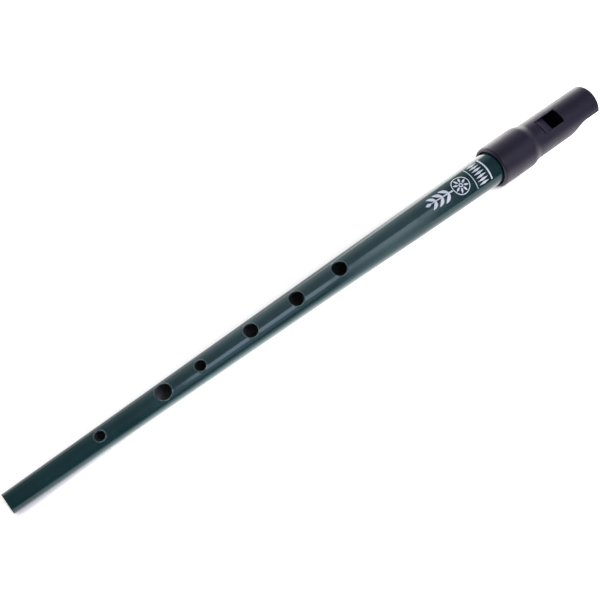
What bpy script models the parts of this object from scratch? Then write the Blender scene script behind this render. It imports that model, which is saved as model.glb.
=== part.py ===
"""Tin whistle: a rolled tinplate cone pushed into a moulded, beaked mouthpiece.

The bore's axis is X, with the foot end at -X and the beak at +X. The finger holes and the
window face +Z. The origin is on the bore's axis, half way along the whistle. Stations are
distances along the axis from the foot end.
"""

import math

import bmesh
import bpy
from mathutils import Matrix

MM = 0.001

# Whole whistle
OVERALL_LENGTH = 298.0 * MM
SIDES = 32                      # facets of every round surface, one of them flat at the bottom
HOLE_SIDES = 24
ROUNDING_STEPS = 4              # facets of an edge's rounding
CLEAR = 2.0 * MM                # how far a cutter runs past the surface that it cuts

# Rolled tube
TUBE_LENGTH = 257.6 * MM
FOOT_RADIUS = 4.15 * MM
TAPER = 1.0 / 70.0              # growth of the tube's radius with its length
TUBE_WALL = 0.3 * MM
LAP_STEP = 0.2 * MM             # height of the soldered lap's edge, along the back
LAP_EDGE = math.radians(1.0)    # the edge's slant
LAP_FADE = math.radians(70.0)   # the outer layer sinks back to the round over this angle
BACK = math.radians(-90.0)      # the lap's edge is opposite the finger holes
FINGER_HOLES = (                # station and diameter, from the foot end upwards
    (38.8 * MM, 3.7 * MM),
    (66.7 * MM, 6.1 * MM),
    (83.7 * MM, 4.0 * MM),
    (107.5 * MM, 5.5 * MM),
    (130.0 * MM, 5.8 * MM),
    (151.9 * MM, 6.0 * MM),
)

# Mouthpiece, outside
RIM_STATION = 238.6 * MM
RIM_RADIUS = 9.5 * MM
COLLAR_END = 256.2 * MM
COLLAR_RADIUS = 9.65 * MM       # the collar swells slightly towards the shoulder
HEAD_START = 261.8 * MM
HEAD_RADIUS = 8.5 * MM
SHOULDER_STEPS = 8
RIM_ROUND = 0.7 * MM
TIP_ROUND = 0.6 * MM

# Mouthpiece, inside
SOCKET_MOUTH_RADIUS = 8.4 * MM
SOCKET_END_RADIUS = 8.2 * MM
SOCKET_END = 257.9 * MM
CAVITY_RADIUS = 7.0 * MM
CAVITY_ROOF = 5.85 * MM         # the cavity's flat top is the blade's underside

# Window and windway
WINDOW_WIDTH = 7.4 * MM
WINDOW_STRIPS = 8               # strips across the ramp, from its round start to its edge
RAMP_START = 265.6 * MM
BLADE_STATION = 271.2 * MM
BLADE_HEIGHT = 6.15 * MM
WINDOW_END = 277.3 * MM
WINDWAY_WIDTH = 7.2 * MM
WINDWAY_FLOOR = 5.55 * MM
WINDWAY_ROOF = 6.65 * MM

# Fipple block
BLOCK_GAP = 0.15 * MM

# Hollow under the beak: a flat tongue, an arc and a straight run down to the underside
TONGUE_HEIGHT = 3.4 * MM
TONGUE_START = 289.6 * MM
HOLLOW_RADIUS = 7.9 * MM
HOLLOW_SLOPE = math.radians(60.0)
HOLLOW_STEPS = 8


def along(station):
    """X of a distance from the foot end."""
    return station - OVERALL_LENGTH / 2


def around(radius):
    """Corner radius of a polygon whose flats lie at this radius."""
    return radius / math.cos(math.pi / SIDES)


def clear_scene():
    for obj in list(bpy.data.objects):
        bpy.data.objects.remove(obj, do_unlink=True)


def new_collection(name):
    collection = bpy.data.collections.new(name)
    bpy.context.scene.collection.children.link(collection)
    return collection


def new_material(name, colour, roughness, metallic):
    mat = bpy.data.materials.new(name)
    mat.use_nodes = True
    shader = mat.node_tree.nodes["Principled BSDF"]
    shader.inputs["Base Color"].default_value = (*colour, 1.0)
    shader.inputs["Roughness"].default_value = roughness
    shader.inputs["Metallic"].default_value = metallic
    return mat


def add_object(name, bm, collection):
    """An object in a collection, made from a bmesh, which is used up."""
    mesh = bpy.data.meshes.new(name)
    bm.to_mesh(mesh)
    bm.free()
    obj = bpy.data.objects.new(name, mesh)
    collection.objects.link(obj)
    return obj


def finish(obj, mat):
    """Give a sub-part its material, and shade its round surfaces smooth."""
    obj.data.materials.append(mat)
    obj.data.shade_smooth()
    obj.data.set_sharp_from_angle(angle=math.radians(30.0))


def subtract(obj, cutter):
    cut = obj.modifiers.new("cut_" + cutter.name, "BOOLEAN")
    cut.operation = "DIFFERENCE"
    cut.object = cutter
    cutter.hide_render = True
    cutter.display_type = "WIRE"


def arc(centre, radius, start, end, steps):
    """Points in a plane, from one angle on a circle to another, both ends included."""
    points = []
    for step in range(steps + 1):
        angle = start + (end - start) * step / steps
        points.append((centre[0] + radius * math.cos(angle),
                       centre[1] + radius * math.sin(angle)))
    return points


def loft(name, sections, collection):
    """A solid through sections, which are loops of as many points each, with flat ends."""
    bm = bmesh.new()
    loops = [[bm.verts.new(point) for point in section] for section in sections]
    for near, far in zip(loops, loops[1:]):
        for corner in range(len(near)):
            bm.faces.new((near[corner - 1], near[corner], far[corner], far[corner - 1]))
    bm.faces.new(loops[0])
    bm.faces.new(loops[-1])
    bmesh.ops.recalc_face_normals(bm, faces=bm.faces)
    return add_object(name, bm, collection)


def prism(name, outline, half_width, collection):
    """A solid with an (x, z) outline that runs both ways from the XZ plane."""
    sections = [[(x, y, z) for x, z in outline] for y in (-half_width, half_width)]
    return loft(name, sections, collection)


def turned(name, profile, collection):
    """A solid of revolution about X, from (radius, station) points, outer side first.

    The profile is drawn at local +X, up local Z. The object's rotation lays local Z along
    X, with half a facet of turn that puts a flat at the bottom.
    """
    bm = bmesh.new()
    ring = [bm.verts.new((around(radius), 0.0, along(station))) for radius, station in profile]
    for first, second in zip(ring, ring[1:]):
        bm.edges.new((first, second))
    obj = add_object(name, bm, collection)
    screw = obj.modifiers.new("turn", "SCREW")
    screw.axis = "Z"
    screw.steps = SIDES
    screw.render_steps = SIDES
    screw.use_merge_vertices = True
    screw.merge_threshold = 0.00001
    half_facet = Matrix.Rotation(math.pi / SIDES, 4, "Z")
    obj.matrix_world = Matrix.Rotation(math.pi / 2, 4, "Y") @ half_facet
    return obj


def bar(name, start, end, start_radius, end_radius, collection, flat_height=None):
    """A round bar between two stations, cut flat at a height above the axis if one is given."""
    bm = bmesh.new()
    bmesh.ops.create_cone(bm, cap_ends=True, segments=SIDES, radius1=around(start_radius),
                          radius2=around(end_radius), depth=end - start)
    half_facet = Matrix.Rotation(math.pi / SIDES, 4, "Z")
    middle = Matrix.Translation((along((start + end) / 2), 0.0, 0.0))
    bmesh.ops.transform(bm, matrix=middle @ Matrix.Rotation(math.pi / 2, 4, "Y") @ half_facet,
                        verts=bm.verts)
    if flat_height is not None:
        bmesh.ops.bisect_plane(bm, geom=bm.verts[:] + bm.edges[:] + bm.faces[:],
                               plane_co=(0.0, 0.0, flat_height), plane_no=(0.0, 0.0, 1.0),
                               clear_outer=True)
        bmesh.ops.holes_fill(bm, edges=bm.edges)
    return add_object(name, bm, collection)


def tube_radius(station):
    return FOOT_RADIUS + TAPER * station


def tube_section(station):
    """Outline of the rolled cone at a station, from the lap's raised edge right round to it."""
    points = []
    for step in range(SIDES + 1):
        turn = max(LAP_EDGE, 2 * math.pi * step / SIDES)
        radius = tube_radius(station) + LAP_STEP * max(0.0, 1.0 - turn / LAP_FADE)
        points.append((along(station), radius * math.cos(BACK + turn),
                       radius * math.sin(BACK + turn)))
    return points


def finger_hole_drills(collection):
    """One drill for each finger hole, from the axis out through the front of the tube."""
    bm = bmesh.new()
    for station, diameter in FINGER_HOLES:
        reach = tube_radius(station) + CLEAR
        place = Matrix.Translation((along(station), 0.0, reach / 2))
        bmesh.ops.create_cone(bm, cap_ends=True, segments=HOLE_SIDES, radius1=diameter / 2,
                              radius2=diameter / 2, depth=reach, matrix=place)
    return add_object("finger_hole_drills", bm, collection)


def body_tube(parts, cutters):
    """Tinplate rolled into a cone and lapped along the back, with the finger holes punched."""
    tube = loft("body_tube", [tube_section(0.0), tube_section(TUBE_LENGTH)], parts)
    bore = bar("tube_bore", -CLEAR, TUBE_LENGTH + CLEAR, tube_radius(-CLEAR) - TUBE_WALL,
               tube_radius(TUBE_LENGTH + CLEAR) - TUBE_WALL, cutters)
    subtract(tube, bore)
    subtract(tube, finger_hole_drills(cutters))
    finish(tube, new_material("green_painted_tin", (0.012, 0.055, 0.045), 0.3, 0.0))
    return tube


def mouthpiece_profile():
    """Outside of the mouthpiece from the tip to the rim, then the socket back to the axis."""
    tip = arc((HEAD_RADIUS - TIP_ROUND, OVERALL_LENGTH - TIP_ROUND), TIP_ROUND,
              math.pi / 2, 0.0, ROUNDING_STEPS)
    rim = arc((RIM_RADIUS - RIM_ROUND, RIM_STATION + RIM_ROUND), RIM_ROUND,
              0.0, -math.pi / 2, ROUNDING_STEPS)
    shoulder = []
    for step in range(SHOULDER_STEPS + 1):
        share = step / SHOULDER_STEPS
        rise = share * share * (3.0 - 2.0 * share)
        shoulder.append((HEAD_RADIUS + (COLLAR_RADIUS - HEAD_RADIUS) * rise,
                         HEAD_START + (COLLAR_END - HEAD_START) * share))
    socket = [(SOCKET_MOUTH_RADIUS, RIM_STATION), (SOCKET_END_RADIUS, SOCKET_END),
              (0.0, SOCKET_END)]
    return [(0.0, OVERALL_LENGTH)] + tip + shoulder + rim + socket


def window_cutter(collection):
    """The window with its ramp, which starts on the round and ends in the straight blade."""
    top = HEAD_RADIUS + CLEAR
    run = BLADE_STATION - RAMP_START
    sections = []
    for strip in range(WINDOW_STRIPS + 1):
        y = WINDOW_WIDTH * (strip / WINDOW_STRIPS - 0.5)
        climb = math.sqrt(HEAD_RADIUS ** 2 - y ** 2) - BLADE_HEIGHT
        back_run = run * (top - BLADE_HEIGHT) / climb
        outline = ((BLADE_STATION - back_run, top), (BLADE_STATION, BLADE_HEIGHT),
                   (BLADE_STATION, CAVITY_ROOF - CLEAR), (WINDOW_END, CAVITY_ROOF - CLEAR),
                   (WINDOW_END, top))
        sections.append([(along(station), y, z) for station, z in outline])
    return loft("window_cutter", sections, collection)


def windway_cutter(collection):
    """The slot through the roof of the beak, over the block."""
    start = along(WINDOW_END - CLEAR)
    end = along(OVERALL_LENGTH + CLEAR)
    outline = [(start, WINDWAY_FLOOR), (end, WINDWAY_FLOOR), (end, WINDWAY_ROOF),
               (start, WINDWAY_ROOF)]
    return prism("windway_cutter", outline, WINDWAY_WIDTH / 2, collection)


def beak_cutter(collection):
    """The hollow under the beak, which cuts the mouthpiece and its block alike."""
    below = -HEAD_RADIUS - CLEAR
    end = along(OVERALL_LENGTH + CLEAR)
    up = math.pi / 2
    curve = arc((along(TONGUE_START), TONGUE_HEIGHT - HOLLOW_RADIUS), HOLLOW_RADIUS,
                up, up + HOLLOW_SLOPE, HOLLOW_STEPS)
    foot_x = curve[-1][0] - (curve[-1][1] - below) / math.tan(HOLLOW_SLOPE)
    outline = [(end, below), (end, TONGUE_HEIGHT)] + curve + [(foot_x, below)]
    return prism("beak_cutter", outline, HEAD_RADIUS + CLEAR, collection)


def mouthpiece(parts, cutters, hollow):
    """Moulded collar, head and beak in one shell, open to the tube, window and windway."""
    shell = turned("mouthpiece", mouthpiece_profile(), parts)
    cavity = bar("cavity_cutter", SOCKET_END - CLEAR, OVERALL_LENGTH + CLEAR, CAVITY_RADIUS,
                 CAVITY_RADIUS, cutters, CAVITY_ROOF)
    for cutter in (cavity, windway_cutter(cutters), window_cutter(cutters), hollow):
        subtract(shell, cutter)
    finish(shell, new_material("black_abs_shell", (0.02, 0.018, 0.024), 0.4, 0.0))
    return shell


def fipple_block(parts, hollow):
    """The plug in the beak, whose flat top is the windway's floor."""
    radius = CAVITY_RADIUS - BLOCK_GAP
    block = bar("fipple_block", WINDOW_END, OVERALL_LENGTH, radius, radius, parts,
                WINDWAY_FLOOR)
    subtract(block, hollow)
    finish(block, new_material("black_abs_block", (0.02, 0.018, 0.024), 0.45, 0.0))
    return block


def main():
    clear_scene()
    parts = new_collection("tin_whistle")
    cutters = new_collection("cutters")
    hollow = beak_cutter(cutters)
    body_tube(parts, cutters)
    shell = mouthpiece(parts, cutters, hollow)
    block = fipple_block(parts, hollow)
    block.parent = shell
    block.matrix_parent_inverse = shell.matrix_world.inverted()


main()
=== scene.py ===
"""Tin whistle: the fine visible model of a rolled tinplate tube in a moulded mouthpiece.

The frame gives the axes: X runs along the bore from the foot to the beak, and the finger
holes and the window face +Z. Shapes are worked out in millimetres and made in metres.
"""

import math

import bmesh
import bpy
import numpy as np
from mathutils import Matrix, Vector


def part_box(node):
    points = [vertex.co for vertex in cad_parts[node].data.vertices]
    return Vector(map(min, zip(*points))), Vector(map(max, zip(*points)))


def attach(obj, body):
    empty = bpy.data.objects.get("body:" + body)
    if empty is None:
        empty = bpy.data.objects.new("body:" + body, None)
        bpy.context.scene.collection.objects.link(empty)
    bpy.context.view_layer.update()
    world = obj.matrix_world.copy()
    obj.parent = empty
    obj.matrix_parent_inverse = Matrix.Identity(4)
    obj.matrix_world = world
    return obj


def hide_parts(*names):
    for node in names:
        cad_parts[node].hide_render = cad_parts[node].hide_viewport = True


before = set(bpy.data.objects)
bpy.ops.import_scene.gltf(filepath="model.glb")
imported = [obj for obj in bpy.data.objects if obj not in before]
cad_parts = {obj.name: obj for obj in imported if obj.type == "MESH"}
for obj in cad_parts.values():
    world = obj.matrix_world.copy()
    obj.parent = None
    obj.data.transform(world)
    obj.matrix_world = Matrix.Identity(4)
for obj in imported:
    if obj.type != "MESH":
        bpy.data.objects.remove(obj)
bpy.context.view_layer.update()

MM = 0.001

# Where the frame's solids begin and end, in millimetres along X
FOOT_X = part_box("body_tube")[0].x / MM
TUBE_END_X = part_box("body_tube")[1].x / MM
RIM_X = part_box("mouthpiece")[0].x / MM
TIP_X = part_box("mouthpiece")[1].x / MM
BLOCK_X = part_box("fipple_block")[0].x / MM

# Rolled tube
FOOT_RADIUS = 4.15
TAPER = 1.0 / 70.0              # growth of the radius along the tube
TUBE_WALL = 0.3
PAINT = 0.05                    # thickness of the enamel
SEAT = 0.01                     # gap between a coat and what it covers
LAP_STEP = 0.2                  # height of the lapped seam's edge, along the back
LAP_ANGLE = 270.0               # where the seam is, in degrees from +Y towards +Z
LAP_EDGE = 1.0
LAP_FADE = 70.0
ROLL_WAVE = 0.010               # unevenness that the rolling leaves
ROLL_WAVES = (                  # (share, radians per mm, start, lobes, turn) of its parts
    (1.0, 0.19, 1.3, 2.0, 0.4), (0.7, 0.43, 2.1, 3.0, 1.9),
)
FRONT = 90.0                    # angle of the finger holes
FINGER_HOLES = (                # distance from the foot, and diameter
    (38.8, 3.7), (66.7, 6.1), (83.7, 4.0), (107.5, 5.5), (130.0, 5.8), (151.9, 6.0),
)
HOLE_WEAR = 0.12                # the holes' edges are worn a little wider
HOLE_LIP = (                    # (distance from the hole, depth) of its beaded edge
    (0.40, 0.0), (0.34, -0.014), (0.28, -0.048), (0.21, -0.070), (0.14, -0.052),
    (0.08, -0.012), (0.03, 0.020), (0.0, 0.060),
)
BEAD_HIGHLIGHT_RING = (0.20, 0.28, 0.36, 0.44)    # from the hole: the painted highlight ring starts, is full, fades, ends

# The tube's mesh
STRIP = 44.0                    # half the angle of the strip that holds the holes
PATCH_CELLS = 16
PATCH_MARGIN = 0.6
PATCH_RINGS = 4
ROW_STEP = 4.0
BACK_STEP = 2.6
SEAM_SHARES = (-0.9, 0.0, 0.2, 0.4, 0.6, 0.8, 1.0, 2.0)     # of the lap's edge
SEAM_CLEAR = 1.6                # degrees beside the seam with no other line of corners
SMOOTH_ANGLE = 35.0             # sharper creases stay sharp

# Printed ornament
PRINT_RAISE = 0.02
PRINT_FOOT = 0.01
PRINT_START = 200.5             # distance from the foot to the ornament's first point
PRINT_ANGLE = 96.0
SPRIG_LENGTH = 12.6
SPRIG_STEPS = 24
SPRIG_SPLAY = 62.0
LEAF_STEPS = 12
LEAF_TIP = 0.1
ROSETTE_ALONG = 17.2
ROSETTE_RADIUS = 4.1
ROSETTE_EYE = 0.75
PETALS = 8
PETAL_START = 1.25
BORDER_START = 23.6
BORDER_END = 31.8
BORDER_HALF = 5.6
BORDER_STEPS = 24
LOZENGES = 7
LOZENGE_HALF = 2.7

# Mouthpiece
COLLAR_END_X = FOOT_X + 256.2
HEAD_START_X = FOOT_X + 261.8
SOCKET_END_X = FOOT_X + 257.9
RIM_RADIUS = 9.5
COLLAR_RADIUS = 9.65
HEAD_RADIUS = 8.5
RIM_ROUND = 1.1
TIP_ROUND = 0.6
SOCKET_MOUTH_RADIUS = 8.12      # the plastic fits the tube closely
SOCKET_END_RADIUS = 8.2
CAVITY_RADIUS = 7.0
CAVITY_ROOF = 5.85
WINDOW_WIDTH = 7.4
RAMP_X = FOOT_X + 265.6
GROOVE_WIDTH = 0.52             # a fine groove marks the start of the ramp
GROOVE_DEPTH = 0.55
BLADE_X = FOOT_X + 271.2
BLADE_HEIGHT = 6.15
WINDWAY_WIDTH = 7.2
WINDWAY_FLOOR = 5.55
WINDWAY_ROOF = 6.65
TONGUE_HEIGHT = 3.4
TONGUE_X = FOOT_X + 289.6
HOLLOW_RADIUS = 7.9
HOLLOW_SLOPE = 60.0
BLOCK_GAP = 0.15
CLEAR = 2.0                     # how far a cutter runs past what it cuts
MOULD_SIDES = 192
MOULD_EDGE = 0.12               # rounding of the moulded edges
EDGE_ANGLE = 32.0               # only sharper edges are rounded
EDGE_SEGMENTS = 3
ROUND_STEPS = 6
SHOULDER_STEPS = 16
WINDOW_STEPS = 24
HOLLOW_STEPS = 20

# Camera: over the foot and a little to one side, turned so that the whistle lies aslant
FOCAL = 60.12
SENSOR = 36.0
CAMERA_FOOT = Vector((-0.1484, 0.0, 0.0))
CAMERA_DISTANCE = 0.3734
CAMERA_SIDE = 0.00035
CAMERA_PITCH = math.radians(19.5)
CAMERA_ROLL = math.radians(17.5)
CAMERA_TURN = math.radians(34.8)

# Stage, in metres and watts
FLOOR_GAP = 0.05 * MM           # between the floor and what rests on it
FLOOR_RADIUS = 3.0
BACKDROP_HEIGHTS = (-0.3, 1.0, 3.0)
RING_SIDES = 96
SOFTBOXES = (                   # name, place, length and breadth, power, seen in the gloss
    ("strip_box", (0.23, -0.50, 0.86), (0.26, 0.50), 1.6, True),
    ("low_box", (0.20, -0.84, 0.54), (0.28, 0.34), 0.3, True),
    ("fill_box", (0.25, -0.50, 0.85), (0.70, 0.70), 3.1, False),
)
SOFTBOX_TINT = (0.79, 0.80, 1.0)
STAGE_GLOW_TINT = (1.0, 0.98, 0.94, 1.0)      # tint of the glow of the floor, whose glow paints light and shade, and of the evenly glowing backdrop
SKY_TINT = (0.92, 0.96, 1.0, 1.0)
PANEL_EDGE = (0.461, 0.466)     # where the bright panel ends, as a direction's X
PANEL_LEAN = 0.0105             # how far that edge leans
CONTACT_REACH = 0.004           # how far the painted contact shadow under the whistle reaches on the floor


# ---------------------------------------------------------------- camera and stage

def add_camera():
    """The photograph's viewpoint."""
    away = Vector((0.0, -math.sin(CAMERA_ROLL), math.cos(CAMERA_ROLL)))
    across = Vector((0.0, math.cos(CAMERA_ROLL), math.sin(CAMERA_ROLL)))
    along = Vector((1.0, 0.0, 0.0))
    look = along * math.sin(CAMERA_PITCH) - away * math.cos(CAMERA_PITCH)
    level = along * math.cos(CAMERA_PITCH) + away * math.sin(CAMERA_PITCH)
    right = level * math.cos(CAMERA_TURN) - across * math.sin(CAMERA_TURN)
    up = level * math.sin(CAMERA_TURN) + across * math.cos(CAMERA_TURN)
    camera = bpy.data.objects.new("camera", bpy.data.cameras.new("camera"))
    bpy.context.scene.collection.objects.link(camera)
    camera.data.lens = FOCAL
    camera.data.sensor_width = SENSOR
    camera.data.clip_start = 0.01
    placed = Matrix((right, up, -look)).transposed().to_4x4()
    placed.translation = CAMERA_FOOT + away * CAMERA_DISTANCE + across * CAMERA_SIDE
    camera.matrix_world = placed
    bpy.context.scene.camera = camera


def floor_frame():
    """(origin, tilt) of the floor, which the foot's seam and the collar's rim rest on."""
    low_foot = Vector((FOOT_X, 0.0, -FOOT_RADIUS - LAP_STEP)) * MM
    low_rim = Vector((RIM_X + RIM_ROUND, 0.0, -RIM_RADIUS)) * MM
    slope = math.atan2(low_foot.z - low_rim.z, low_rim.x - low_foot.x)
    middle = (low_foot + low_rim) / 2
    middle.z -= FLOOR_GAP
    return middle, Matrix.Rotation(slope, 4, "Y")


def stage_material(name, colour):
    """A matt, faintly warm surface that gives light of its own."""
    mat = bpy.data.materials.new(name)
    mat.use_nodes = True
    shader = mat.node_tree.nodes["Principled BSDF"]
    shader.inputs["Base Color"].default_value = (*colour, 1.0)
    shader.inputs["Roughness"].default_value = 0.9
    shader.inputs["Specular IOR Level"].default_value = 0.1
    shader.inputs["Emission Color"].default_value = STAGE_GLOW_TINT
    shader.inputs["Emission Strength"].default_value = 1.0
    return mat


def add_ring_mesh(name, rings, filled, mat, matrix):
    """A round surface through (radius, height) rings, in metres, filled inside the first."""
    bm = bmesh.new()
    loops = []
    for radius, height in rings:
        loops.append([bm.verts.new((radius * math.cos(turn), radius * math.sin(turn), height))
                      for turn in np.linspace(0.0, 2 * math.pi, RING_SIDES, endpoint=False)])
    for near, far in zip(loops, loops[1:]):
        for corner in range(len(near)):
            bm.faces.new((near[corner - 1], near[corner], far[corner], far[corner - 1]))
    if filled:
        bm.faces.new(loops[0])
    bmesh.ops.recalc_face_normals(bm, faces=bm.faces)
    mesh = bpy.data.meshes.new(name)
    bm.to_mesh(mesh)
    bm.free()
    mesh.materials.append(mat)
    mesh.shade_smooth()
    obj = bpy.data.objects.new(name, mesh)
    bpy.context.scene.collection.objects.link(obj)
    obj.matrix_world = matrix
    return obj


def add_area(name, place, size, power, mirrored):
    """A soft box that faces the whistle's middle, with its first side along the whistle."""
    data = bpy.data.lights.new(name, "AREA")
    data.shape = "RECTANGLE"
    data.size, data.size_y = size
    data.energy = power
    data.color = SOFTBOX_TINT
    light = bpy.data.objects.new(name, data)
    bpy.context.scene.collection.objects.link(light)
    away = Vector(place).normalized()
    along = (Vector((1.0, 0.0, 0.0)) - away * away.x).normalized()
    matrix = Matrix((along, away.cross(along), away)).transposed().to_4x4()
    matrix.translation = Vector(place)
    light.matrix_world = matrix
    light.visible_glossy = mirrored


def map_range(tree, value, low, high, to_low, to_high):
    """A smooth step from one number to another."""
    node = tree.nodes.new("ShaderNodeMapRange")
    node.interpolation_type = "SMOOTHSTEP"
    for name, number in (("From Min", low), ("From Max", high),
                         ("To Min", to_low), ("To Max", to_high)):
        node.inputs[name].default_value = number
    tree.links.new(value, node.inputs["Value"])
    return node.outputs["Result"]


def maths(tree, operation, first, second):
    """One operation on two sockets or numbers."""
    node = tree.nodes.new("ShaderNodeMath")
    node.operation = operation
    for socket, value in zip(node.inputs, (first, second)):
        if isinstance(value, bpy.types.NodeSocket):
            tree.links.new(value, socket)
        else:
            socket.default_value = value
    return node.outputs[0]


def product(tree, first, *others):
    for other in others:
        first = maths(tree, "MULTIPLY", first, other)
    return first


def total(tree, first, *others):
    for other in others:
        first = maths(tree, "ADD", first, other)
    return first


def axes(tree, kind):
    """X and Y of a texture coordinate."""
    split = tree.nodes.new("ShaderNodeSeparateXYZ")
    coords = tree.nodes.new("ShaderNodeTexCoord")
    tree.links.new(coords.outputs[kind], split.inputs[0])
    return split.outputs["X"], split.outputs["Y"]


def add_world():
    """The room that the gloss mirrors, by the X and Y of each direction.

    It is dim towards the foot and low on the near side, and brighter on the far side. A narrow
    panel on the near side ends in a sharp edge. Past that edge the near side is dark, as far as
    a glow beyond the tip.
    """
    world = bpy.data.worlds.new("studio")
    bpy.context.scene.world = world
    world.use_nodes = True
    tree = world.node_tree
    x, y = axes(tree, "Generated")
    edge = maths(tree, "SUBTRACT", x, product(tree, y, PANEL_LEAN))
    near = product(tree, map_range(tree, y, -0.95, -0.35, 0.08, 0.60),
                   map_range(tree, edge, *PANEL_EDGE, 1.0, 0.12))
    far = map_range(tree, y, 0.40, 1.0, 0.0, 0.75)
    room = product(tree, total(tree, near, far), map_range(tree, x, 0.0, 0.32, 0.25, 1.25))
    panel = product(tree, map_range(tree, y, -0.90, -0.45, 1.4, 2.6),
                    map_range(tree, y, -0.22, -0.10, 1.0, 0.0),
                    map_range(tree, edge, *PANEL_EDGE, 1.0, 0.0),
                    map_range(tree, x, 0.345, 0.385, 0.0, 1.0))
    ahead = map_range(tree, x, 0.76, 0.92, 0.0, 0.65)
    background = tree.nodes["Background"]
    background.inputs["Color"].default_value = SKY_TINT
    tree.links.new(total(tree, room, panel, ahead), background.inputs["Strength"])


def painted_light_floor(mat):
    """The floor glows, and its glow paints light and shade.

    It glows most along the near side and on the far side of the head, as painted pools of
    light. A strip beside the tube on the far side is dimmer, as painted shade. It is darkened
    where the whistle rests, as a painted contact shadow.
    """
    tree = mat.node_tree
    x, y = axes(tree, "Object")
    # Painted light: a bright pool on the floor along the near side of the tube
    near = product(tree, map_range(tree, y, -0.050, -0.011, 0.0, 2.7),
                   map_range(tree, y, -0.004, 0.004, 1.0, 0.0),
                   map_range(tree, x, -0.115, -0.055, 0.0, 1.0),
                   map_range(tree, x, 0.02, 0.085, 1.0, 0.13))
    # Painted light: a bright pool on the floor on the far side of the head
    far = product(tree, map_range(tree, y, 0.008, 0.030, 0.0, 1.0),
                  map_range(tree, x, 0.045, 0.115, 0.0, 2.9))
    # An even glow, with painted shade: dimmer in a strip beside the tube on the far side
    floor = total(tree, map_range(tree, y, 0.0, 0.01, 0.95, 0.66),
                  map_range(tree, y, 0.02, 0.06, 0.0, 0.40))
    # Painted contact shadow: ambient occlusion darkens the glow where the whistle rests
    contact = tree.nodes.new("ShaderNodeAmbientOcclusion")
    contact.inputs["Distance"].default_value = CONTACT_REACH
    shade = map_range(tree, contact.outputs["AO"], 0.35, 0.95, 0.12, 1.0)
    glow = product(tree, total(tree, near, far, floor), shade)
    tree.links.new(glow, tree.nodes["Principled BSDF"].inputs["Emission Strength"])
    return mat


def add_stage():
    """A glowing floor under the whistle, with painted light and shade in its glow, a pale wall
    round it and soft boxes to the near side.
    """
    origin, tilt = floor_frame()
    matrix = Matrix.Translation(origin) @ tilt
    add_ring_mesh("floor", [(radius, 0.0) for radius in (0.4, 1.2, FLOOR_RADIUS)], True,
                  painted_light_floor(stage_material("pale_floor", (0.85, 0.85, 0.85))), matrix)
    wall = add_ring_mesh("backdrop", [(FLOOR_RADIUS, height) for height in BACKDROP_HEIGHTS],
                         False, stage_material("pale_backdrop", (0.8, 0.8, 0.8)), matrix)
    wall.visible_glossy = False
    wall.visible_diffuse = False
    wall.visible_shadow = False
    for softbox in SOFTBOXES:
        add_area(*softbox)
    add_world()
    bpy.context.scene.view_settings.view_transform = "Standard"


# ---------------------------------------------------------------- materials

class Nodes:
    """Short calls for the nodes of one material."""

    def __init__(self, name):
        self.material = bpy.data.materials.new(name)
        self.material.use_nodes = True
        self.tree = self.material.node_tree
        self.shader = self.tree.nodes["Principled BSDF"]
        self.coords = self.tree.nodes.new("ShaderNodeTexCoord").outputs["Object"]

    def fill(self, socket, value):
        """Link a socket, or set its value."""
        if isinstance(value, bpy.types.NodeSocket):
            self.tree.links.new(value, socket)
        else:
            socket.default_value = value

    def set(self, **values):
        for name, value in values.items():
            self.fill(self.shader.inputs[name.replace("_", " ")], value)

    def distance(self, middle):
        """How far the surface is from a point."""
        gap = self.tree.nodes.new("ShaderNodeVectorMath")
        gap.operation = "DISTANCE"
        self.tree.links.new(self.coords, gap.inputs[0])
        gap.inputs[1].default_value = middle
        return gap.outputs["Value"]

    def noise(self, scale, detail=2.0, rough=0.5, stretch=(1.0, 1.0, 1.0), warp=0.0):
        place = self.tree.nodes.new("ShaderNodeMapping")
        place.inputs["Scale"].default_value = stretch
        self.tree.links.new(self.coords, place.inputs["Vector"])
        noise = self.tree.nodes.new("ShaderNodeTexNoise")
        noise.inputs["Scale"].default_value = scale
        noise.inputs["Detail"].default_value = detail
        noise.inputs["Roughness"].default_value = rough
        noise.inputs["Distortion"].default_value = warp
        self.tree.links.new(place.outputs["Vector"], noise.inputs["Vector"])
        return noise.outputs["Fac"]

    def spread(self, value, low, high, to_low, to_high):
        return map_range(self.tree, value, low, high, to_low, to_high)

    def sum(self, *values):
        return total(self.tree, *values)

    def times(self, *values):
        return product(self.tree, *values)

    def mix(self, share, first, second):
        node = self.tree.nodes.new("ShaderNodeMix")
        node.data_type = "RGBA"
        self.fill(node.inputs["Factor"], share)
        self.fill(node.inputs[6], (*first, 1.0) if isinstance(first, tuple) else first)
        self.fill(node.inputs[7], (*second, 1.0) if isinstance(second, tuple) else second)
        return node.outputs[2]

    def bump(self, height, distance, normal=None):
        node = self.tree.nodes.new("ShaderNodeBump")
        node.inputs["Strength"].default_value = 1.0
        node.inputs["Distance"].default_value = distance
        self.tree.links.new(height, node.inputs["Height"])
        if normal is not None:
            self.tree.links.new(normal, node.inputs["Normal"])
        return node.outputs["Normal"]


def painted_bead_highlights(n):
    """A fine pale ring round each finger hole on the bead's crest: a painted highlight, broken
    up by noise.
    """
    rings = 0.0
    for station, diameter in FINGER_HOLES:
        x = FOOT_X + station
        gap = n.distance((x * MM, 0.0, tube_radius(x) * MM))
        half = diameter / 2 + HOLE_WEAR
        start, full, fade, end = [(half + away) * MM for away in BEAD_HIGHLIGHT_RING]
        inner = n.spread(gap, start, full, 0.0, 1.0)
        outer = n.spread(gap, fade, end, 1.0, 0.0)
        rings = n.sum(n.times(inner, outer), rings)
    highlight_breakup = n.spread(n.noise(420.0, 3.0), 0.35, 0.6, 0.45, 1.0)
    return n.times(rings, highlight_breakup)


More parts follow.
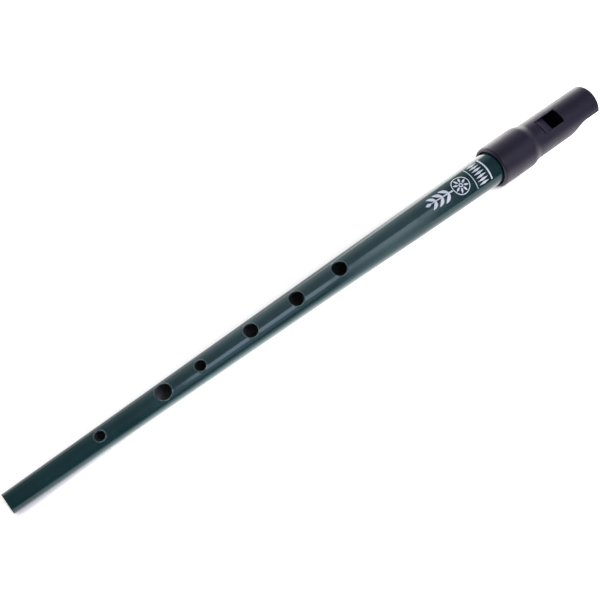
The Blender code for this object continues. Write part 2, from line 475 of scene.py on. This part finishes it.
def enamel_material():
    """Dark green gloss enamel, with orange peel, hairline scratches, uneven gloss and a painted
    highlight ring round each hole.
    """
    n = Nodes("green_enamel")
    cloud = n.spread(n.noise(55.0, 3.0, 0.6), 0.3, 0.7, 0.0, 1.0)
    colour = n.mix(cloud, (0.0110, 0.0380, 0.0410), (0.0150, 0.0480, 0.0520))
    hair = n.spread(n.noise(30.0, 6.0, 0.7, (1.0, 55.0, 55.0), 0.4), 0.68, 0.78, 0.0, 1.0)
    colour = n.mix(n.times(hair, 0.35), colour, (0.05, 0.09, 0.09))
    # Painted highlight: a pale ring on each hole's bead
    colour = n.mix(painted_bead_highlights(n), colour, (0.22, 0.30, 0.29))
    gloss = n.spread(n.noise(140.0, 4.0, 0.6), 0.25, 0.8, 0.08, 0.14)
    n.set(Base_Color=colour, Roughness=n.sum(gloss, n.times(hair, 0.12)),
          IOR=1.5, Specular_Tint=(0.78, 0.97, 1.0, 1.0))
    peel = n.bump(n.noise(850.0, 1.0, 0.5), 0.000006)
    wave = n.bump(n.noise(75.0, 1.0, 0.5, (0.35, 1.0, 1.0)), 0.00005, peel)
    n.set(Normal=wave)
    return n.material


def tinplate_material():
    """Bare tinplate with rolling lines and a dull bloom."""
    n = Nodes("bare_tinplate")
    grain = n.noise(60.0, 6.0, 0.7, (1.0, 70.0, 70.0))
    bloom = n.spread(n.noise(170.0, 4.0, 0.6), 0.35, 0.7, 0.0, 1.0)
    colour = n.mix(bloom, (0.36, 0.34, 0.36), (0.22, 0.20, 0.22))
    n.set(Base_Color=colour, Metallic=0.55, Roughness=n.spread(grain, 0.2, 0.8, 0.45, 0.65))
    n.set(Normal=n.bump(grain, 0.00001))
    return n.material


def abs_material(name, dark, light):
    """Satin moulded plastic with a fine grain, faint flow marks and rubbed patches."""
    n = Nodes(name)
    flow = n.spread(n.noise(70.0, 4.0, 0.6, (0.4, 1.0, 1.0), 0.6), 0.3, 0.75, 0.0, 1.0)
    speck = n.spread(n.noise(2600.0, 1.0), 0.66, 0.8, 0.0, 0.35)
    colour = n.mix(speck, n.mix(flow, dark, light), (0.050, 0.046, 0.070))
    rubbed = n.spread(n.noise(110.0, 5.0, 0.65), 0.3, 0.8, 0.40, 0.52)
    n.set(Base_Color=colour, Roughness=rubbed, IOR=1.5, Specular_Tint=(1.0, 0.92, 1.0, 1.0))
    grain = n.bump(n.noise(3200.0, 2.0, 0.6), 0.000007)
    n.set(Normal=n.bump(n.noise(260.0, 2.0, 0.5), 0.000012, grain))
    return n.material


def print_material():
    """White screen print, a little thin in places."""
    n = Nodes("white_print")
    thin = n.spread(n.noise(900.0, 4.0, 0.7), 0.56, 0.75, 0.0, 0.5)
    cloud = n.spread(n.noise(260.0, 3.0), 0.3, 0.7, 0.0, 1.0)
    colour = n.mix(cloud, (0.86, 0.88, 0.95), (0.93, 0.94, 0.99))
    colour = n.mix(thin, colour, (0.30, 0.38, 0.40))
    n.set(Base_Color=colour, Roughness=n.spread(thin, 0.0, 0.5, 0.35, 0.5))
    n.set(Normal=n.bump(n.noise(1500.0, 3.0), 0.000006))
    return n.material


# ---------------------------------------------------------------- mesh helpers

class Skin:
    """Gathers the faces of a surface. Corners that fall on the same place are shared."""

    def __init__(self, place):
        self.place = place
        self.index = {}
        self.points = []
        self.faces = []

    def corner(self, key):
        key = tuple(round(float(number), 5) for number in key)
        if key not in self.index:
            self.index[key] = len(self.points)
            self.points.append(self.place(*key))
        return self.index[key]

    def quad(self, *keys):
        corners = []
        for key in keys:
            corner = self.corner(key)
            if corner not in corners:
                corners.append(corner)
        if len(corners) > 2:
            self.faces.append(corners)

    def bridge(self, near, far, closed=True):
        """Faces between two rows of as many corners."""
        start = 0 if closed else 1
        for step in range(start, len(near)):
            self.quad(near[step - 1], near[step], far[step], far[step - 1])


def add_object(name, mesh, mat):
    mesh.materials.clear()
    mesh.materials.append(mat)
    obj = bpy.data.objects.new(name, mesh)
    bpy.context.scene.collection.objects.link(obj)
    return obj


def skin_object(name, skin, mat):
    """An object in metres from a skin in millimetres, with its faces pointing out."""
    bm = bmesh.new()
    verts = [bm.verts.new(Vector(point) * MM) for point in skin.points]
    for face in skin.faces:
        bm.faces.new([verts[corner] for corner in face])
    bmesh.ops.recalc_face_normals(bm, faces=bm.faces)
    mesh = bpy.data.meshes.new(name)
    bm.to_mesh(mesh)
    bm.free()
    mesh.shade_smooth()
    mesh.set_sharp_from_angle(angle=math.radians(SMOOTH_ANGLE))
    return add_object(name, mesh, mat)


# ---------------------------------------------------------------- rolled tube

def tube_radius(x):
    return FOOT_RADIUS + TAPER * (x - FOOT_X)


def tube_place(x, degrees, depth):
    """A point under the painted surface, at an angle from +Y towards +Z."""
    turn = math.radians(degrees)
    behind = (degrees - LAP_ANGLE) % 360.0
    rise = min(behind / LAP_EDGE, 1.0)
    fade = 0.5 + 0.5 * math.cos(math.pi * min(behind / LAP_FADE, 1.0))
    lap = LAP_STEP * rise * rise * (3.0 - 2.0 * rise) * fade
    wave = ROLL_WAVE * sum(
        share * math.sin(pitch * x + start) * math.cos(lobes * turn + aside)
        for share, pitch, start, lobes, aside in ROLL_WAVES)
    outside = 1.0 - depth / TUBE_WALL
    radius = tube_radius(x) - depth + (lap + wave) * max(outside, 0.0)
    return x, radius * math.cos(turn), radius * math.sin(turn)


def tube_rows():
    """X of the tube's rows of corners, and the spans that the hole patches fill."""
    spans = []
    rows = {round(FOOT_X, 5), round(TUBE_END_X, 5)}
    for station, diameter in FINGER_HOLES:
        reach = diameter / 2 + PATCH_MARGIN
        span = (FOOT_X + station - reach, FOOT_X + station + reach)
        spans.append(span)
        rows.update(round(x, 5) for x in np.linspace(*span, PATCH_CELLS + 1))
    ends = [FOOT_X] + [x for span in spans for x in span] + [TUBE_END_X]
    for start, end in zip(ends[::2], ends[1::2]):
        count = max(1, round((end - start) / ROW_STEP))
        rows.update(round(x, 5) for x in np.linspace(start, end, count + 1))
    return sorted(rows), spans


def tube_columns():
    """Angles of the tube's lines of corners, from the strip over the holes right round."""
    strip = list(np.linspace(FRONT - STRIP, FRONT + STRIP, PATCH_CELLS + 1))
    count = round((360.0 - 2 * STRIP) / BACK_STEP)
    back = np.linspace(FRONT + STRIP, FRONT - STRIP + 360.0, count + 1)[1:-1]
    back = [angle for angle in back if abs(angle - LAP_ANGLE - LAP_EDGE / 2) > SEAM_CLEAR]
    seam = [LAP_ANGLE + LAP_EDGE * share for share in SEAM_SHARES]
    return strip + sorted(back + seam)


def hole_rings(station, diameter, depth, beaded):
    """Rings of (x, angle, depth) from a patch's square edge in to the hole's wall."""
    middle = FOOT_X + station
    half = diameter / 2 + HOLE_WEAR
    reach = half + PATCH_MARGIN
    along = np.linspace(-1.0, 1.0, PATCH_CELLS + 1)[:-1]
    square = ([(t, -1.0) for t in along] + [(1.0, t) for t in along]
              + [(-t, 1.0) for t in along] + [(-1.0, -t) for t in along])
    square = [(middle + reach * u, FRONT + STRIP * v) for u, v in square]

    def circle(radius):
        """Corners round the hole, in step with the square's from its first corner on."""
        points = []
        for step in range(4 * PATCH_CELLS):
            turn = math.radians(135.0 - 90.0 * step / PATCH_CELLS)
            x = middle + radius * math.cos(turn)
            points.append((x, math.degrees(math.acos(radius * math.sin(turn)
                                                     / tube_radius(x)))))
        return points

    outer = circle(half + HOLE_LIP[0][0])
    rings = []
    for step in range(PATCH_RINGS + 1):
        share = step / PATCH_RINGS
        rings.append([(a + (c - a) * share, b + (d - b) * share, depth)
                      for (a, b), (c, d) in zip(square, outer)])
    for away, dip in HOLE_LIP[1:]:
        rings.append([(x, angle, depth + (dip if beaded else 0.0))
                      for x, angle in circle(half + away)])
    return rings


def tube_surface(skin, depth, beaded):
    """One round surface with its holes; gives back each hole's innermost ring."""
    rows, spans = tube_rows()
    columns = tube_columns()
    for near, far in zip(rows, rows[1:]):
        middle = (near + far) / 2
        holed = any(start < middle < end for start, end in spans)
        first = PATCH_CELLS if holed else 0
        ring = columns[first:] + [FRONT - STRIP + 360.0]
        keys = [[(x, angle if angle < 360.0 + FRONT - STRIP else FRONT - STRIP, depth)
                 for angle in ring] for x in (near, far)]
        skin.bridge(keys[0], keys[1], closed=False)
    walls = []
    for station, diameter in FINGER_HOLES:
        rings = hole_rings(station, diameter, depth, beaded)
        for near, far in zip(rings, rings[1:]):
            skin.bridge(near, far)
        walls.append(rings[-1])
    return walls


def tube_layer(name, top, bottom, beaded_inside, mat):
    """A closed layer of the tube between two depths under the painted surface."""
    skin = Skin(tube_place)
    outer = tube_surface(skin, top, True)
    inner = tube_surface(skin, bottom, beaded_inside)
    for near, far in zip(outer, inner):
        skin.bridge(near, far)
    columns = tube_columns()
    for x in (FOOT_X, TUBE_END_X):
        skin.bridge([(x, angle, top) for angle in columns],
                    [(x, angle, bottom) for angle in columns])
    return skin_object(name, skin, mat)


def build_tube():
    """The enamel and the tinplate under it, a layer each."""
    enamel = tube_layer("tube_enamel", 0.0, PAINT, True, enamel_material())
    tin = tube_layer("tube_tinplate", PAINT + SEAT, TUBE_WALL, False, tinplate_material())
    for piece in (enamel, tin):
        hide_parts("body_tube")
        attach(piece, "tube")


# ---------------------------------------------------------------- printed ornament

def print_place(along, across, height):
    """A point on the tube from the ornament's flat drawing, in millimetres."""
    x = FOOT_X + PRINT_START + along
    degrees = PRINT_ANGLE - math.degrees(across / tube_radius(x))
    return tube_place(x, degrees, -height)


def ribbon(skin, spine, widths, closed=False):
    """A flat shape along a line, as wide at each point as the widths say."""
    count = len(spine)
    grid = []
    for step, (along, across) in enumerate(spine):
        if closed:
            before, after = spine[step - 1], spine[(step + 1) % count]
        else:
            before, after = spine[max(step - 1, 0)], spine[min(step + 1, count - 1)]
        run = math.hypot(after[0] - before[0], after[1] - before[1])
        side = (-(after[1] - before[1]) / run, (after[0] - before[0]) / run)
        half = widths[step] / 2
        grid.append([(along + side[0] * half * t, across + side[1] * half * t)
                     for t in (-1.0, 0.0, 1.0)])
    if closed:
        grid.append(grid[0])
    for height in (PRINT_RAISE, -PRINT_FOOT):
        for near, far in zip(grid, grid[1:]):
            skin.bridge([(*p, height) for p in near], [(*p, height) for p in far],
                        closed=False)
    if closed:
        edges = ([row[0] for row in grid[:-1]], [row[-1] for row in grid[:-1]])
    else:
        edges = ([row[0] for row in grid] + grid[-1][1:-1]
                 + [row[-1] for row in grid[::-1]] + grid[0][-2:0:-1],)
    for edge in edges:
        skin.bridge([(*p, PRINT_RAISE) for p in edge], [(*p, -PRINT_FOOT) for p in edge])


def leaf(skin, base, heading, length, width, bend=0.0):
    """A pointed leaf that curves away from its heading, in degrees."""
    spine = [tuple(base)]
    widths = [LEAF_TIP]
    for step in range(1, LEAF_STEPS + 1):
        share = step / LEAF_STEPS
        turn = math.radians(heading + bend * share)
        along, across = spine[-1]
        spine.append((along + length / LEAF_STEPS * math.cos(turn),
                      across + length / LEAF_STEPS * math.sin(turn)))
        swell = max(0.0, math.sin(math.pi * share ** 0.85)) ** 0.9
        widths.append(LEAF_TIP + width * swell)
    ribbon(skin, spine, widths)


def ring(skin, centre, radius, width, cells=48):
    """A thin circle."""
    turns = np.linspace(0.0, 2 * math.pi, cells, endpoint=False)
    spine = [(centre[0] + radius * math.cos(turn), centre[1] + radius * math.sin(turn))
             for turn in turns]
    ribbon(skin, spine, [width] * cells, closed=True)


def sprig(skin):
    """A short stem with leaves in pairs."""
    stem = [(SPRIG_LENGTH * share, 0.7 - 0.7 * share)
            for share in np.linspace(0.08, 1.0, SPRIG_STEPS)]
    ribbon(skin, stem, np.linspace(0.3, 0.75, SPRIG_STEPS))
    leaf(skin, stem[0], 178.0, 3.0, 1.3)
    for number in range(3):
        base = stem[5 + 7 * number]
        for side in (-1.0, 1.0):
            leaf(skin, base, 180.0 - side * SPRIG_SPLAY, 4.3 + 0.35 * number, 1.45,
                 side * 42.0)


def rosette(skin):
    """Petals inside a thin ring."""
    centre = (ROSETTE_ALONG, 0.0)
    ring(skin, centre, ROSETTE_RADIUS, 0.42)
    ring(skin, centre, ROSETTE_EYE, 0.55, cells=16)
    for number in range(PETALS):
        heading = 360.0 * (number + 0.5) / PETALS
        turn = math.radians(heading)
        base = (centre[0] + PETAL_START * math.cos(turn),
                centre[1] + PETAL_START * math.sin(turn))
        leaf(skin, base, heading, 2.35, 0.85)


def border(skin):
    """A row of lozenges between two lines, across the tube."""
    for along, width in ((BORDER_START, 0.35), (BORDER_END, 0.75)):
        line = [(along, across)
                for across in np.linspace(-BORDER_HALF, BORDER_HALF, BORDER_STEPS)]
        ribbon(skin, line, [width] * BORDER_STEPS)
    pitch = 2 * BORDER_HALF / LOZENGES
    middle = (BORDER_START + BORDER_END) / 2 - 0.1
    for number in range(LOZENGES):
        across = -BORDER_HALF + pitch * (number + 0.5)
        spine = [(middle + LOZENGE_HALF * t, across) for t in (-1.0, -0.5, 0.0, 0.5, 1.0)]
        ribbon(skin, spine, [0.08, 0.62, 1.16, 0.62, 0.08])


def build_print():
    """A plain ornament in white print near the collar."""
    skin = Skin(print_place)
    sprig(skin)
    rosette(skin)
    border(skin)
    obj = skin_object("printed_ornament", skin, print_material())
    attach(obj, "tube")


# ---------------------------------------------------------------- mouthpiece and block

def arc(centre, radius, start, end, steps):
    """Points on a circle from one angle in degrees to another, both ends included."""
    points = []
    for step in range(steps + 1):
        turn = math.radians(start + (end - start) * step / steps)
        points.append((centre[0] + radius * math.cos(turn),
                       centre[1] + radius * math.sin(turn)))
    return points


def loft(name, sections):
    """A closed solid in millimetres through sections of as many points, with flat ends."""
    bm = bmesh.new()
    loops = [[bm.verts.new(point) for point in section] for section in sections]
    for near, far in zip(loops, loops[1:]):
        for corner in range(len(near)):
            bm.faces.new((near[corner - 1], near[corner], far[corner], far[corner - 1]))
    bm.faces.new(loops[0])
    bm.faces.new(loops[-1])
    bmesh.ops.recalc_face_normals(bm, faces=bm.faces)
    mesh = bpy.data.meshes.new(name)
    bm.to_mesh(mesh)
    bm.free()
    obj = bpy.data.objects.new(name, mesh)
    bpy.context.scene.collection.objects.link(obj)
    return obj


def prism(name, outline, half_width):
    """An (x, z) outline carried across the whistle, to both sides alike."""
    return loft(name, [[(x, y, z) for x, z in outline] for y in (-half_width, half_width)])


def turned(name, profile):
    """A solid of revolution about X through (x, radius) points, open ends closed flat."""
    sections = []
    for x, radius in profile:
        sections.append([(x, radius * math.cos(turn), radius * math.sin(turn)) for turn in
                         np.linspace(0.0, 2 * math.pi, MOULD_SIDES, endpoint=False)])
    return loft(name, sections)


def flat_topped_bar(name, start, end, radius, top):
    """A round bar along X, cut flat at a height above the axis."""
    edge = math.degrees(math.asin(top / radius))
    outline = arc((0.0, 0.0), radius, 180.0 - edge, 360.0 + edge, MOULD_SIDES * 3 // 4)
    return loft(name, [[(x, y, z) for y, z in outline] for x in (start, end)])


def mouthpiece_profile():
    """Outside from the tip to the rim, then the socket in to its shoulder."""
    tip = arc((TIP_X - TIP_ROUND, HEAD_RADIUS - TIP_ROUND), TIP_ROUND,
              0.0, 90.0, ROUND_STEPS)
    rise = COLLAR_RADIUS - HEAD_RADIUS
    run = HEAD_START_X - COLLAR_END_X
    shoulder = [(HEAD_START_X - run * share,
                 HEAD_RADIUS + rise * share ** 2 * (3.0 - 2.0 * share))
                for share in np.linspace(0.0, 1.0, SHOULDER_STEPS + 1)]
    rim = arc((RIM_X + RIM_ROUND, RIM_RADIUS - RIM_ROUND), RIM_ROUND,
              90.0, 180.0, ROUND_STEPS)
    socket = [(RIM_X, SOCKET_MOUTH_RADIUS), (SOCKET_END_X, SOCKET_END_RADIUS)]
    return tip + shoulder + rim + socket


def window_cutter():
    """The window and its ramp, which starts on the round and ends in the straight blade."""
    top = HEAD_RADIUS + CLEAR
    sections = []
    for y in np.linspace(-WINDOW_WIDTH / 2, WINDOW_WIDTH / 2, WINDOW_STEPS + 1):
        start = math.sqrt(HEAD_RADIUS ** 2 - y ** 2)
        slope = (start - BLADE_HEIGHT) / (BLADE_X - RAMP_X)
        low = start - GROOVE_DEPTH
        outline = ((RAMP_X, top), (RAMP_X, low), (RAMP_X + GROOVE_WIDTH, low),
                   (RAMP_X + GROOVE_WIDTH, start - slope * GROOVE_WIDTH),
                   (BLADE_X, BLADE_HEIGHT), (BLADE_X, CAVITY_ROOF - CLEAR),
                   (BLOCK_X, CAVITY_ROOF - CLEAR), (BLOCK_X, top))
        sections.append([(x, y, z) for x, z in outline])
    return loft("window_cutter", sections)


def windway_cutter():
    """The flat slot over the block, open at the window and at the tip."""
    outline = [(BLOCK_X - CLEAR, WINDWAY_FLOOR), (TIP_X + CLEAR, WINDWAY_FLOOR),
               (TIP_X + CLEAR, WINDWAY_ROOF), (BLOCK_X - CLEAR, WINDWAY_ROOF)]
    return prism("windway_cutter", outline, WINDWAY_WIDTH / 2)


def beak_cutter():
    """The hollow under the beak: a flat tongue, an arc and a straight run down."""
    below = -HEAD_RADIUS - CLEAR
    curve = arc((TONGUE_X, TONGUE_HEIGHT - HOLLOW_RADIUS), HOLLOW_RADIUS,
                90.0, 90.0 + HOLLOW_SLOPE, HOLLOW_STEPS)
    foot = curve[-1][0] - (curve[-1][1] - below) / math.tan(math.radians(HOLLOW_SLOPE))
    outline = [(TIP_X + CLEAR, below), (TIP_X + CLEAR, TONGUE_HEIGHT)] + curve
    return prism("beak_cutter", outline + [(foot, below)], HEAD_RADIUS + CLEAR)


def carved(name, blank, cutters, mat):
    """The blank less the cutters, with its edges rounded, as a plain mesh in metres."""
    for cutter in cutters:
        cut = blank.modifiers.new(cutter.name, "BOOLEAN")
        cut.operation = "DIFFERENCE"
        cut.solver = "EXACT"
        cut.object = cutter
    bevel = blank.modifiers.new("edges", "BEVEL")
    bevel.width = MOULD_EDGE
    bevel.segments = EDGE_SEGMENTS
    bevel.limit_method = "ANGLE"
    bevel.angle_limit = math.radians(EDGE_ANGLE)
    bevel.use_clamp_overlap = True
    even = blank.modifiers.new("normals", "WEIGHTED_NORMAL")
    even.keep_sharp = False
    blank.data.shade_smooth()
    bpy.context.view_layer.update()
    ready = blank.evaluated_get(bpy.context.evaluated_depsgraph_get())
    mesh = bpy.data.meshes.new_from_object(ready)
    mesh.name = name
    mesh.transform(Matrix.Scale(MM, 4))
    bpy.data.objects.remove(blank)
    return add_object(name, mesh, mat)


def build_mouthpiece():
    """The moulding and the block in it, which the beak's hollow cuts alike."""
    hollow = beak_cutter()
    cavity = flat_topped_bar("cavity_cutter", SOCKET_END_X - CLEAR, TIP_X + CLEAR,
                             CAVITY_RADIUS, CAVITY_ROOF)
    cutters = (cavity, windway_cutter(), window_cutter(), hollow)
    shell = carved("moulded_mouthpiece", turned("shell_blank", mouthpiece_profile()), cutters,
                   abs_material("black_abs", (0.0100, 0.0068, 0.0235),
                                (0.0140, 0.0100, 0.0310)))
    bar = flat_topped_bar("block_blank", BLOCK_X, TIP_X, CAVITY_RADIUS - BLOCK_GAP,
                          WINDWAY_FLOOR)
    block = carved("windway_block", bar, (hollow,),
                   abs_material("black_abs_block", (0.0120, 0.0095, 0.0260),
                                (0.0165, 0.0135, 0.0340)))
    for cutter in cutters:
        bpy.data.objects.remove(cutter)
    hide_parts("mouthpiece")
    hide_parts("fipple_block")
    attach(shell, "head")
    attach(block, "head")


def main():
    add_camera()
    add_stage()
    build_tube()
    build_print()
    build_mouthpiece()


main()
